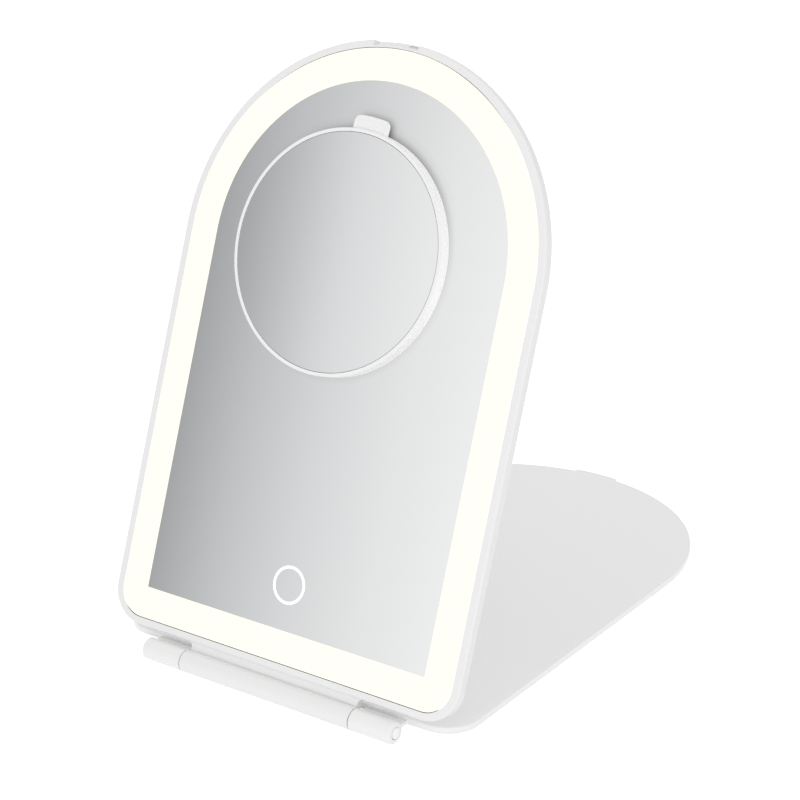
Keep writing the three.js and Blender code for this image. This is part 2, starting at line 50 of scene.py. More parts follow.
# Outline that the panel and the cover share
glass_half = 80.0 * mm
glass_corner = 10.8 * mm
arch_rise = 159.5 * mm
rim_width = 3.3 * mm
hinge_inset = 7.7 * mm
glass_foot = hinge_inset + rim_width
arch_centre = glass_foot + arch_rise
shell_half = glass_half + rim_width
shell_corner = glass_corner + rim_width
arch_steps = 128
corner_steps = 16

# Heights over the hinge axis
glass_front = -0.7 * mm
glass_thickness = 1.2 * mm
glass_back = glass_front - glass_thickness
panel_thickness = 4.4 * mm
panel_back = glass_front - panel_thickness
cover_under = 0.4 * mm
cover_thickness = 2.8 * mm
cover_top = cover_under + cover_thickness

# Housing of the panel and its opening for the glass. Sizes named across or along are stretching factors,
# which bring a finished outline to the one in the photograph
housing_corner = shell_corner + 0.1 * mm
housing_across = 1.0024
housing_back_round = 0.3 * mm
rim_face = rim_width - 0.28 * mm
rim_outer_round = 0.75 * mm
rim_inner_round = 0.1 * mm
rim_middle = 1.5 * mm
opening_across = 0.9945
opening_along = 1.0006
opening_depth = glass_thickness + 0.3 * mm

# Lit band and mirror
band_width = 12.45 * mm
band_half = glass_half + 0.12 * mm
band_foot = glass_foot - 0.1 * mm
band_corner = glass_corner + 0.4 * mm
band_across = 0.9969
band_round = 0.05 * mm
mirror_play = 0.02 * mm

# Touch ring
touch_y = glass_foot + 30.3 * mm
touch_radius = 7.0 * mm
touch_line = 1.15 * mm
touch_bottom = glass_front - 0.3 * mm
touch_height = 0.33 * mm
touch_steps = 96

# Finger scoop in the far edge, with angles in degrees from the middle of the arch
scoop_front = 2.3 * mm
scoop_back = 0.15 * mm
scoop_half_angle = 7.2
scoop_steps = 20
scoop_spare = 1.0 * mm
scoop_outer = shell_half + 4.0 * mm

# Charging port in the scoop
port_angle = 4.9
port_half = 2.2 * mm
port_play = 0.02 * mm
port_low = glass_front - 3.35 * mm
port_high = glass_front - 1.35 * mm
port_start = arch_centre + glass_half + 0.5 * mm
port_end = arch_centre + shell_half + 0.6 * mm
port_wall = 0.25 * mm
port_dip = 0.15 * mm

# Hinge barrel and the flaps that carry its knuckles
barrel_radius = 4.45 * mm
barrel_half = 60.65 * mm
barrel_end_round = 0.8 * mm
centre_half = 41.4 * mm
knuckle_gap = 0.4 * mm
knuckle_round = 0.35 * mm
flap_inset = 0.4 * mm
flap_overlap = 1.0 * mm
flap_low = cover_under + 0.15 * mm
flap_high = cover_under + 1.6 * mm
flap_fillet = 0.7 * mm
web_inset = 0.5 * mm
web_overlap = 2.2 * mm
web_low = glass_front - 3.6 * mm
web_high = glass_front - 0.8 * mm
web_fillet = 2.2 * mm
fillet_room = 4.0 * mm

# Caps in the ends of the barrel
cap_radius = 2.3 * mm
cap_proud = 0.2 * mm
cap_seat = 1.8 * mm
cap_round = 0.25 * mm
cap_shift_y = 0.18 * mm
cap_shift_z = 0.02 * mm
cap_sides = 48
bore_radius = cap_radius + 0.2 * mm
bore_depth = 1.9 * mm
bore_spare = 1.0 * mm

# Cover and its pull lip, with angles in degrees from the middle of the arch
cover_round = 0.5 * mm
lip_half_angle = 8.2
lip_run_out = 1.4
lip_steps = 48
lip_reach = 2.1 * mm
lip_start = shell_half - 0.5 * mm
lip_root = shell_half - 1.6 * mm
lip_thickness = 2.0 * mm

# Magnifier
magnifier_radius = 47.8 * mm
magnifier_bore = 46.4 * mm
magnifier_low = glass_front + 0.15 * mm
magnifier_high = glass_front + 5.6 * mm
magnifier_x = -5.5 * mm
magnifier_y = glass_foot + 159.7 * mm
magnifier_steps = 160
magnifier_front_round = 0.28 * mm
magnifier_back_round = 0.15 * mm
magnifier_bore_round = 0.2 * mm
floor_low = magnifier_low + 0.55 * mm
floor_thickness = 1.8 * mm
floor_overlap = 0.7 * mm
lens_play = 0.2 * mm
lens_top = magnifier_high - 0.2 * mm
lens_thickness = 1.5 * mm
lens_round = 0.1 * mm

# Pull tab of the magnifier
tab_reach = 5.4 * mm
tab_angle = 4.5
tab_low = magnifier_high - 3.9 * mm
tab_high = magnifier_high - 1.5 * mm
tab_root = 0.8 * mm
tab_corner = 2.3 * mm
tab_circle_steps = 84
tab_step = 2 * math.pi / tab_circle_steps
tab_half_angle = 2 * tab_step
tab_dish_wall = 0.8 * mm
tab_dish_depth = 0.35 * mm
tab_round = 0.6 * mm

# Angles in degrees under which two faces are shaded as one
piece_crease = 32
shell_crease = 34

# Where the flat pieces go
joints = {joint["name"]: joint for joint in frame["record"]["behaviour"]["joints"]}
hinge = Vector(joints["panel_tilt"]["pos_m"])
facing = Vector(joints["magnifier_lift"]["axis"])
panel_lean = math.atan2(-facing.y, facing.z)
cover_lean = panel_lean - math.radians(70)
panel_place = Matrix.Translation(hinge) @ Matrix.Rotation(panel_lean, 4, "X")
cover_place = Matrix.Translation(hinge) @ Matrix.Rotation(cover_lean, 4, "X")
magnifier_place = panel_place @ Matrix.Translation((magnifier_x, magnifier_y, 0))


# Modelling steps
def start(name, scale=(1, 1, 1)):
    piece = bpy.context.active_object
    piece.name = name
    piece.data.name = name
    piece.scale = scale
    bpy.ops.object.transform_apply(location=True, rotation=True, scale=True)
    bpy.ops.object.mode_set(mode="EDIT")
    return piece


def leave():
    bpy.ops.object.mode_set(mode="OBJECT")


def only(piece):
    bpy.ops.object.select_all(action="DESELECT")
    piece.select_set(True)
    bpy.context.view_layer.objects.active = piece


def pick_all():
    bpy.ops.mesh.select_all(action="SELECT")


def pick(kind, wanted):
    mesh = bpy.context.edit_object.data
    bpy.ops.mesh.select_mode(type=kind)
    bpy.ops.mesh.select_all(action="DESELECT")
    shape = bmesh.from_edit_mesh(mesh)
    group = {"VERT": shape.verts, "EDGE": shape.edges, "FACE": shape.faces}[kind]
    found = [item for item in group if wanted(item)]
    if not found:
        raise ValueError("nothing was picked on " + mesh.name)
    for item in found:
        item.select_set(True)
    shape.select_flush_mode()
    bmesh.update_edit_mesh(mesh)


def near(value, target):
    return abs(value - target) < 0.02 * mm


def is_wall(face, lean):
    return abs(face.normal.z) <= lean


def edge_at_height(height):
    return lambda edge: all(near(vert.co.z, height) for vert in edge.verts)


def edge_at_end(x):
    return lambda edge: all(near(vert.co.x, x) for vert in edge.verts)


def slide(y=0.0, z=0.0):
    bpy.ops.transform.translate(value=(0, y, z))


def stretch(across, along=1.0, fixed_y=0.0):
    bpy.ops.transform.resize(value=(across, along, 1), center_override=(0, fixed_y, 0))


def pull(y=0.0, z=0.0):
    bpy.ops.mesh.extrude_region_move(TRANSFORM_OT_translate={"value": (0, y, z)})


def bevel(kind, wanted, amount, segments):
    pick(kind, wanted)
    affect = {"VERT": "VERTICES", "EDGE": "EDGES"}[kind]
    bpy.ops.mesh.bevel(affect=affect, offset=amount, segments=segments, profile=0.5)


def face_out():
    bpy.ops.mesh.select_mode(type="VERT")
    pick_all()
    bpy.ops.mesh.remove_doubles(threshold=0.002 * mm)
    bpy.ops.mesh.normals_make_consistent(inside=False)


def thicken(height):
    pick("FACE", lambda face: True)
    pull(z=height)
    face_out()


def combine(piece, other, operation):
    only(piece)
    tool = piece.modifiers.new(operation.lower(), "BOOLEAN")
    tool.operation = operation
    tool.solver = "EXACT"
    tool.object = other
    bpy.ops.object.modifier_apply(modifier=tool.name)
    bpy.data.objects.remove(other, do_unlink=True)


def smooth(piece, crease=piece_crease):
    only(piece)
    bpy.ops.object.shade_smooth_by_angle(angle=math.radians(crease))
    even = piece.modifiers.new("even", "WEIGHTED_NORMAL")
    even.keep_sharp = True
    bpy.ops.object.modifier_apply(modifier=even.name)


def lay(piece, place):
    only(piece)
    piece.matrix_world = place
    bpy.ops.object.transform_apply(location=True, rotation=True, scale=True)


def turn_on_arch(piece, degrees):
    centre = Matrix.Translation((0, arch_centre, 0))
    lay(piece, centre @ Matrix.Rotation(math.radians(degrees), 4, "Z") @ centre.inverted())


# Shapes that several pieces start from
def arch_slab(name, half, foot, corner, low, high):
    bpy.ops.object.select_all(action="DESELECT")
    bpy.ops.mesh.primitive_circle_add(vertices=2 * arch_steps, radius=half, fill_type="NOTHING",
                                      location=(0, arch_centre, low))
    slab = start(name)
    pick("VERT", lambda vert: vert.co.y < arch_centre and not near(vert.co.y, arch_centre))
    bpy.ops.mesh.delete(type="VERT")
    pick("VERT", lambda vert: near(vert.co.y, arch_centre) and near(abs(vert.co.x), half))
    pull(y=foot - arch_centre)
    pick_all()
    bpy.ops.mesh.edge_face_add()
    if corner > 0:
        bevel("VERT", lambda vert: near(vert.co.y, foot), corner, segments=corner_steps)
    thicken(high - low)
    return slab


def round_bar(name, radius, one_end, other_end, sides=72):
    low, high = sorted((one_end, other_end))
    bpy.ops.object.select_all(action="DESELECT")
    bpy.ops.mesh.primitive_cylinder_add(vertices=sides, radius=radius, depth=high - low,
                                        location=((low + high) / 2, 0, 0), rotation=(0, math.pi / 2, 0))
    return start(name)


# A neck from the hinge axis to a slab's foot, which it meets with a fillet on each side. The grid comes in
# three columns and two rows, from -1 to 1
def neck(name, x_from, x_to, overlap, low, high, fillet):
    bpy.ops.object.select_all(action="DESELECT")
    bpy.ops.mesh.primitive_grid_add(x_subdivisions=3, y_subdivisions=2, size=2, location=(0, 0, low))
    piece = start(name)
    columns = [x_from - fillet_room, x_from, x_to, x_to + fillet_room]
    rows = [0.0, hinge_inset, hinge_inset + overlap]
    shape = bmesh.from_edit_mesh(piece.data)
    for vert in shape.verts:
        vert.co.x = columns[round((vert.co.x + 1) * 1.5)]
        vert.co.y = rows[round(vert.co.y + 1)]
    bmesh.update_edit_mesh(piece.data)

    def beside_neck(face):
        middle = face.calc_center_median()
        return middle.y < hinge_inset and not x_from < middle.x < x_to

    def at_fillet(vert):
        return near(vert.co.y, hinge_inset) and (near(vert.co.x, x_from) or near(vert.co.x, x_to))

    pick("FACE", beside_neck)
    bpy.ops.mesh.delete(type="FACE")
    pick_all()
    bpy.ops.mesh.dissolve_faces()
    bevel("VERT", at_fillet, fillet, segments=8)
    thicken(high - low)
    leave()
    return piece


# Shader maths
class Wire:
    def __init__(self, recipe, socket):
        self.recipe = recipe
        self.socket = socket

    def combine(self, operation, first, second):
        return self.recipe.add("ShaderNodeMath", {"operation": operation}, {0: first, 1: second})

    def __add__(self, other):
        return self.combine("ADD", self, other)

    def __radd__(self, other):
        return self.combine("ADD", other, self)

    def __sub__(self, other):
        return self.combine("SUBTRACT", self, other)

    def __rsub__(self, other):
        return self.combine("SUBTRACT", other, self)

    def __mul__(self, other):
        return self.combine("MULTIPLY", self, other)

    def __rmul__(self, other):
        return self.combine("MULTIPLY", other, self)


def opaque(tone):
    return tone if isinstance(tone, Wire) else (*tone, 1.0)


class Recipe:
    def __init__(self, name, tree=None):
        if tree is None:
            self.material = bpy.data.materials.new(name)
            self.material.use_nodes = True
            tree = self.material.node_tree
        self.tree = tree
        tree.nodes.clear()

    def add(self, kind, settings=None, values=None, result=0):
        node = self.tree.nodes.new(kind)
        for key, value in (settings or {}).items():
            if key == "stops":
                ramp = node.color_ramp
                while len(ramp.elements) < len(value):
                    ramp.elements.new(0.5)
                for element, (position, tone) in zip(ramp.elements, value):
                    element.position = position
                    element.color = opaque(tone)
            else:
                setattr(node, key, value)
        for key, value in (values or {}).items():
            if isinstance(value, Wire):
                self.tree.links.new(value.socket, node.inputs[key])
            else:
                node.inputs[key].default_value = value
        if result is not None:
            return Wire(self, node.outputs[result])
        return None

    def place(self):
        return self.add("ShaderNodeTexCoord", result="Object")

    def along(self, axis):
        return self.add("ShaderNodeSeparateXYZ", {}, {"Vector": self.place()}, axis)

    def height_on_panel(self):
        uphill = Vector((0, math.cos(panel_lean), math.sin(panel_lean)))
        height = self.add("ShaderNodeVectorMath", {"operation": "DOT_PRODUCT"},
                          {0: self.place(), 1: tuple(uphill)}, "Value")
        return height - uphill.dot(hinge)

    def noise(self, scale, detail=2.0, roughness=0.5):
        values = {"Vector": self.place(), "Scale": scale, "Detail": detail, "Roughness": roughness}
        return self.add("ShaderNodeTexNoise", {}, values, "Fac")

    def fade(self, value, start_at, end_at, first=0.0, last=1.0):
        values = {"Value": value, "From Min": start_at, "From Max": end_at, "To Min": first, "To Max": last}
        return self.add("ShaderNodeMapRange", {"interpolation_type": "SMOOTHSTEP"}, values)

    # On a colour mix, inputs 6 and 7 are the two colours and output 2 is the result
    def between(self, low, high, amount):
        values = {0: amount, 6: opaque(low), 7: opaque(high)}
        return self.add("ShaderNodeMix", {"data_type": "RGBA"}, values, 2)

    def raised(self, height, strength, distance):
        return self.add("ShaderNodeBump", {}, {"Height": height, "Strength": strength, "Distance": distance})

    def openness(self, reach):
        return self.add("ShaderNodeAmbientOcclusion", {"samples": 12}, {"Distance": reach}, "AO")

    def is_ray(self, kind):
        return self.add("ShaderNodeLightPath", result="Is " + kind + " Ray")

    # 1 for what the lens sees, also in a mirror or through glass, and 0 for what only lights the object
    def is_seen(self):
        rays = self.is_ray("Camera") + self.is_ray("Glossy") + self.is_ray("Transmission")
        return self.add("ShaderNodeMath", {"operation": "MINIMUM"}, {0: rays, 1: 1.0})

    def shader(self, kind, tone, **values):
        return self.add("ShaderNode" + kind, {}, {"Color": opaque(tone), **values})

    def skin(self, **sockets):
        names = {key.replace("_", " ").title(): value for key, value in sockets.items()}
        self.output(self.add("ShaderNodeBsdfPrincipled", {}, names))
        return self.material

    def output(self, surface, kind="Material"):
        self.add("ShaderNodeOutput" + kind, {}, {"Surface": surface}, None)


# Finishes
black = (0.0, 0.0, 0.0)
white = (1.0, 1.0, 1.0)
plastic_roughness = 0.36
plastic_coat = 0.12
plastic_coat_roughness = 0.25

# Where painted light, shade and reflection change over the standing object, along its own axes
painted_shade_reach = 3.0 * mm
painted_shade_heights = (150 * mm, 210 * mm)
wide_painted_shade_heights = (170 * mm, 210 * mm)
cover_painted_light_span = (-125 * mm, -20 * mm)
magnifier_painted_reflection_span = (-56 * mm, 6 * mm)
mirror_painted_reflection_span = (-85 * mm, 20 * mm)
mirror_painted_reflection_height = 100 * mm
mirror_painted_reflection_slant = 0.4


def grey(level):
    return (level, level, level)


def dimmed(tone, share):
    return tuple(share * value for value in tone)


def plastic_skin(recipe, tone, **more):
    return recipe.skin(
        base_color=tone,
        roughness=plastic_roughness,
        coat_weight=plastic_coat,
        coat_roughness=plastic_coat_roughness,
        **more,
    )


def moulded_plastic(name, tone, roughness=plastic_roughness, coat=plastic_coat):
    recipe = Recipe(name)
    cloud = recipe.noise(scale=16.0, detail=3.0)
    grain = recipe.noise(scale=2400.0, roughness=0.6)
    return recipe.skin(
        base_color=recipe.between(dimmed(tone, 0.985), tone, cloud),
        roughness=(roughness - 0.03) + 0.06 * grain,
        normal=recipe.raised(grain, 0.05, 0.01 * mm),
        coat_weight=coat,
        coat_roughness=plastic_coat_roughness,
    )


# Painted light: the top of the cover is painted a little lighter near the hinge, where the panel shades it,
# and darker away from it
def fading_plastic(name, near_hinge, far_out):
    recipe = Recipe(name)
    part = recipe.fade(recipe.along("Y"), *cover_painted_light_span)
    return plastic_skin(recipe, recipe.between(near_hinge, far_out, part))


# The wall of the magnifier is painted lighter than its front, with painted shade on its lower half and a
# faint painted glow all over
def ring_wall(name, bright, shaded):
    recipe = Recipe(name)
    shade_start = magnifier_y - 0.15 * magnifier_radius
    shade_end = magnifier_y - 0.85 * magnifier_radius
    part = recipe.fade(recipe.height_on_panel(), shade_start, shade_end)
    tone = recipe.between(bright, shaded, part)
    return plastic_skin(recipe, tone, emission_color=opaque(white), emission_strength=0.04)


def lit_panel(name, base, glow):
    recipe = Recipe(name)
    grain = recipe.noise(scale=3500.0, detail=1.0)
    soft = recipe.noise(scale=30.0)
    return recipe.skin(
        base_color=recipe.between(dimmed(base, 0.94), base, grain),
        roughness=0.52 + 0.1 * grain,
        emission_color=recipe.between(dimmed(glow, 0.98), glow, soft),
        emission_strength=0.9,
        normal=recipe.raised(grain, 0.08, 0.01 * mm),
    )


# Edges round the lit glass get painted shade at its foot and, where asked for, at the top of the arch
def ground_edge(name, pale, glow, painted_shade_at_top):
    recipe = Recipe(name)
    grain = recipe.noise(scale=1800.0)
    height = recipe.height_on_panel()
    part = recipe.fade(height, glass_foot + 3.0 * mm, glass_foot + 1.0 * mm)
    if painted_shade_at_top:
        part = part + recipe.fade(height, arch_centre + 0.6 * glass_half, arch_centre + 0.92 * glass_half)
    return recipe.skin(
        base_color=recipe.between(pale, grey(0.01), part),
        roughness=0.5 + 0.1 * grain,
        emission_color=recipe.between(glow, black, part),
        emission_strength=1.0,
    )


def silvering(recipe, tone):
    haze = recipe.noise(scale=14.0, detail=4.0)
    return recipe.skin(
        base_color=tone,
        metallic=1.0,
        roughness=0.01 + 0.006 * haze,
    )


# Painted reflection: the magnifier's mirror is painted darker towards its left edge
def magnifier_silvering(name, left, right):
    recipe = Recipe(name)
    part = recipe.fade(recipe.along("X"), *magnifier_painted_reflection_span)
    return silvering(recipe, recipe.between(left, right, part))


# Seen directly, the mirror gets painted shade close to the magnifier, most of all near the top, and a painted
# reflection that grows lighter from left to right
def mirror_silvering(name, left, right):
    recipe = Recipe(name)
    height = recipe.along("Z")
    across = recipe.along("X") - mirror_painted_reflection_slant * (height - mirror_painted_reflection_height)
    tone = recipe.between(left, right, recipe.fade(across, *mirror_painted_reflection_span))
    near_amount = recipe.fade(height, *painted_shade_heights, first=0.18, last=0.7)
    wide_amount = recipe.fade(height, *wide_painted_shade_heights, first=0.0, last=0.35)
    near_shade = near_amount * (1.0 - recipe.openness(painted_shade_reach))
    wide_shade = wide_amount * (1.0 - recipe.openness(2 * painted_shade_reach))
    light = 1.0 - recipe.is_ray("Camera") * (near_shade + wide_shade)
    return silvering(recipe, recipe.between(black, tone, light))


def plain_metal(name, tone, roughness):
    recipe = Recipe(name)
    wear = recipe.noise(scale=900.0, detail=3.0)
    return recipe.skin(
        base_color=recipe.between(dimmed(tone, 0.86), tone, wear),
        metallic=1.0,
        roughness=roughness + 0.12 * wear,
    )


def soft_silicone(name, tone):
    recipe = Recipe(name)
    grain = recipe.noise(scale=1500.0, detail=3.0)
    return recipe.skin(
        base_color=recipe.between(dimmed(tone, 0.93), tone, grain),
        roughness=0.68 + 0.15 * grain,
        normal=recipe.raised(grain, 0.2, 0.04 * mm),
    )


def solder_mask(name, tone):
    recipe = Recipe(name)
    tracks = recipe.noise(scale=260.0, detail=1.0)
    return recipe.skin(
        base_color=recipe.between(dimmed(tone, 0.6), tone, tracks),
        roughness=0.4 + 0.2 * tracks,
        normal=recipe.raised(tracks, 0.15, 0.05 * mm),
    )


white_shell = moulded_plastic("white_moulding", grey(0.83))
white_cover = moulded_plastic("white_cover_moulding", grey(0.85))
white_cap = moulded_plastic("white_cap_moulding", grey(0.93))
# Painted shade: a darker copy of the white moulding for the underside of the cover
cover_underside_painted_shade = moulded_plastic("cover_belly_moulding", grey(0.72))
# Painted light on the top of the cover near the hinge
cover_top_painted_light = fading_plastic("cover_back_moulding", grey(0.885), grey(0.85))
# Painted shade: the side walls of the panel are a darker copy of its white moulding
panel_side_painted_shade = moulded_plastic("panel_side_moulding", grey(0.79))
frosted_light = lit_panel("frosted_lit_band", (0.16, 0.16, 0.14), (1.0, 1.0, 0.86))
ring_light = lit_panel("lit_touch_line", grey(0.3), white)
# Painted shade on the band's side walls and on the walls of the opening round it
band_side_painted_shade = ground_edge("ground_glass_edge", (0.8, 0.8, 0.76), (0.75, 0.74, 0.68), painted_shade_at_top=True)
gap_wall = ground_edge("gap_wall", (0.8, 0.8, 0.78), black, painted_shade_at_top=False)
# Painted shade round the magnifier and a painted reflection across the mirror
mirror_silver_painted_shade = mirror_silvering("mirror_silvering", (0.895, 0.9, 0.905), (0.94, 0.945, 0.95))
magnifier_silver_painted_reflection = magnifier_silvering("magnifier_silvering", (0.762, 0.766, 0.768), (0.975, 0.98, 0.985))
magnifier_front = moulded_plastic("magnifier_moulding", grey(0.87))
# Painted light and shade on the outer wall of the magnifier
magnifier_side_painted_light_and_shade = ring_wall("magnifier_side_moulding", grey(0.98), grey(0.78))
# Painted shade: a darker grey for the inner walls of the magnifier's ring and the edge of its glass
magnifier_rebate = moulded_plastic("magnifier_rebate", grey(0.65), roughness=0.6, coat=0.0)
pad_silicone = soft_silicone("pad_silicone", (0.78, 0.78, 0.76))
steel = plain_metal("plain_steel", (0.56, 0.58, 0.6), roughness=0.25)
nickel = plain_metal("magnet_nickel", (0.5, 0.51, 0.53), roughness=0.2)
bronze = plain_metal("sleeve_bronze", (0.62, 0.45, 0.22), roughness=0.35)
dark_socket = plain_metal("socket_metal", (0.7, 0.705, 0.71), roughness=0.5)
cell_foil = plain_metal("cell_foil", (0.7, 0.71, 0.73), roughness=0.35)
green_board = solder_mask("green_solder_mask", (0.02, 0.15, 0.07))
white_board = solder_mask("white_led_board", (0.85, 0.85, 0.8))


# A new piece gets its material, rides its body and takes the place of one solid
def dress(piece, material, body, node):
    piece.data.materials.clear()
    piece.data.materials.append(material)
    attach(piece, body)
    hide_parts(node)


# The photograph's mirror shows no reflection of the magnifier
def keep_from_reflections(piece):
    piece.visible_glossy = False


# Some faces of a piece get a material of their own
def paint(piece, material, wanted):
    piece.data.materials.append(material)
    for face in piece.data.polygons:
        if wanted(face):
            face.material_index = len(piece.data.materials) - 1


# Cover with its pull lip and end knuckles
def make_pull_lip():
    bpy.ops.object.select_all(action="DESELECT")
    bpy.ops.mesh.primitive_grid_add(x_subdivisions=lip_steps, y_subdivisions=1, size=2,
                                    location=(0, 0, cover_top - lip_thickness))
    lip = start("lip")
    shape = bmesh.from_edit_mesh(lip.data)
    for vert in shape.verts:
        angle = lip_half_angle * vert.co.x
        part = min(max((lip_half_angle - abs(angle)) / lip_run_out, 0.0), 1.0)
        tip = lip_start + lip_reach * part * part * (3 - 2 * part)
        radius = tip if vert.co.y > 0 else lip_root
        vert.co.x = radius * math.sin(math.radians(angle))
        vert.co.y = arch_centre + radius * math.cos(math.radians(angle))
    bmesh.update_edit_mesh(lip.data)
    thicken(lip_thickness)
    leave()
    return lip


def add_end_knuckle(cover, side):
    inner = side * (centre_half + knuckle_gap / 2)
    outer = side * barrel_half
    low, high = sorted((inner, outer))
    flap = neck("flap", low + flap_inset, high - flap_inset, flap_overlap, flap_low, flap_high, flap_fillet)
    combine(cover, flap, "UNION")
    knuckle = round_bar("knuckle", barrel_radius, inner, outer)
    bevel("EDGE", edge_at_end(inner), knuckle_round, segments=3)
    bevel("EDGE", edge_at_end(outer), barrel_end_round, segments=6)
    leave()
    combine(cover, knuckle, "UNION")
    bore = round_bar("bore", bore_radius, outer - side * bore_depth, outer + side * bore_spare, cap_sides)
    leave()
    combine(cover, bore, "DIFFERENCE")


def make_cover():
    cover = arch_slab("cover_housing", shell_half, hinge_inset, shell_corner, cover_under, cover_top)
    bevel("EDGE", edge_at_height(cover_top), cover_round, segments=4)
    bevel("EDGE", edge_at_height(cover_under), cover_round, segments=5)
    leave()
    combine(cover, make_pull_lip(), "UNION")
    for side in (-1, 1):
        add_end_knuckle(cover, side)
    smooth(cover, shell_crease)
    dress(cover, white_cover, "stand", "cover_shell")
    # The underside of the cover gets painted shade
    paint(cover, cover_underside_painted_shade, lambda face: face.normal.z < -0.25 and face.center.y > hinge_inset)
    # The top of the cover gets its painted light near the hinge
    paint(cover, cover_top_painted_light, lambda face: face.normal.z > 0.98 and near(face.center.z, cover_top))
    lay(cover, cover_place)


def make_barrel_cap(side, word):
    outer = side * (barrel_half + cap_proud)
    inner = side * (barrel_half - cap_seat)
    cap = round_bar("cap_" + word, cap_radius, inner, outer, cap_sides)
    bevel("EDGE", edge_at_end(outer), cap_round, segments=4)
    pick_all()
    slide(y=cap_shift_y, z=cap_shift_z)
    leave()
    smooth(cap)
    dress(cap, white_cap, "stand", "barrel_cap_" + word)
    lay(cap, cover_place)


# True for a point of the housing beyond the middle of its rim
def on_outside(vert):
    x = abs(vert.co.x)
    y = vert.co.y
    corner_x = x - (glass_half - glass_corner)
    corner_y = (glass_foot + glass_corner) - y
    beyond_side = x > glass_half + rim_middle
    beyond_foot = y < glass_foot - rim_middle
    beyond_arch = y > arch_centre and math.hypot(x, y - arch_centre) > glass_half + rim_middle
    in_corner = corner_x > 0 and corner_y > 0
    beyond_corner = in_corner and math.hypot(corner_x, corner_y) > glass_corner + rim_middle
    return beyond_side or beyond_foot or beyond_arch or beyond_corner


# The scoop's floor leans: deep at the front of the edge and shallow at the back
def make_scoop():
    slope = (scoop_front - scoop_back) / panel_thickness
    low = panel_back - scoop_spare
    high = glass_front + scoop_spare
    inner = shell_half - scoop_back + slope * scoop_spare
    middle = (0, arch_centre + (inner + scoop_outer) / 2, (low + high) / 2)
    bpy.ops.object.select_all(action="DESELECT")
    bpy.ops.mesh.primitive_plane_add(size=1, location=middle, rotation=(0, math.pi / 2, 0))
    scoop = start("scoop", (high - low, scoop_outer - inner, 1))
    pick("VERT", lambda vert: near(vert.co.z, high) and near(vert.co.y, arch_centre + inner))
    slide(y=-slope * (high - low))
    pick_all()
    bpy.ops.mesh.spin(steps=scoop_steps, angle=math.radians(2 * scoop_half_angle),
                      center=(0, arch_centre, 0), axis=(0, 0, 1))
    face_out()
    leave()
    angles = [math.degrees(math.atan2(vert.co.x, vert.co.y - arch_centre)) for vert in scoop.data.vertices]
    turn_on_arch(scoop, (max(angles) + min(angles)) / 2)
    return scoop


def make_port_block(name, half):
    middle = (0, (port_start + port_end) / 2, (port_low + port_high) / 2)
    bpy.ops.object.select_all(action="DESELECT")
    bpy.ops.mesh.primitive_cube_add(size=1, location=middle)
    block = start(name, (2 * half, port_end - port_start, port_high - port_low))
    leave()
    turn_on_arch(block, -port_angle)
    return block


# Mirror panel: housing, lit band, mirror, touch ring and charging port
def make_housing():
    housing = arch_slab("panel_housing", shell_half, hinge_inset, housing_corner, panel_back, glass_front)
    at_front = edge_at_height(glass_front)
    pick("FACE", lambda face: all(near(vert.co.z, glass_front) for vert in face.verts))
    bpy.ops.mesh.inset(thickness=rim_face)
    stretch(opening_across, opening_along, (glass_foot + arch_centre + glass_half) / 2)
    pull(z=-opening_depth)
    bevel("EDGE", lambda edge: at_front(edge) and not any(on_outside(vert) for vert in edge.verts),
          rim_inner_round, segments=3)
    bevel("EDGE", lambda edge: at_front(edge) and all(on_outside(vert) for vert in edge.verts),
          rim_outer_round, segments=5)
    bevel("EDGE", edge_at_height(panel_back), housing_back_round, segments=3)
    pick_all()
    stretch(housing_across)
    leave()
    combine(housing, make_scoop(), "DIFFERENCE")
    combine(housing, make_port_block("socket", port_half), "DIFFERENCE")

    half = centre_half - knuckle_gap / 2
    web = neck("web", -half + web_inset, half - web_inset, web_overlap, web_low, web_high, web_fillet)
    combine(housing, web, "UNION")
    barrel = round_bar("barrel", barrel_radius, -half, half)
    bevel("EDGE", lambda edge: edge_at_end(-half)(edge) or edge_at_end(half)(edge), knuckle_round, segments=3)
    leave()
    combine(housing, barrel, "UNION")
    smooth(housing, shell_crease)
    dress(housing, white_shell, "panel", "panel_shell")

    def on_side(face):
        past_foot = face.center.y > hinge_inset - 0.1 * mm
        return is_wall(face, lean=0.2) and past_foot and face.center.z < glass_front - 0.7 * mm

    def in_opening(face):
        corners = [housing.data.vertices[index] for index in face.vertices]
        return is_wall(face, lean=0.5) and not any(on_outside(corner) for corner in corners)

    # The side walls of the housing get painted shade
    paint(housing, panel_side_painted_shade, on_side)
    # The walls of the opening get painted shade at the foot of the glass
    paint(housing, gap_wall, in_opening)
    lay(housing, panel_place)


def make_lit_band():
    band = arch_slab("lit_band", band_half, band_foot, band_corner, glass_back, glass_front)
    bevel("EDGE", edge_at_height(glass_front), band_round, segments=2)
    pick_all()
    stretch(band_across)
    leave()
    hole = arch_slab("hole", glass_half - band_width, glass_foot + band_width, 0,
                     glass_back - glass_thickness, glass_front + glass_thickness)
    leave()
    combine(band, hole, "DIFFERENCE")
    smooth(band)
    dress(band, frosted_light, "panel", "light_band")
    # The band's side walls get painted shade at the foot and at the top of the arch
    paint(band, band_side_painted_shade, lambda face: is_wall(face, lean=0.3))
    lay(band, panel_place)


def make_mirror():
    edge = band_width + mirror_play
    mirror = arch_slab("main_mirror", glass_half - edge, glass_foot + edge, 0, glass_back, glass_front)
    leave()
    dress(mirror, mirror_silver_painted_shade, "panel", "mirror_glass")
    lay(mirror, panel_place)


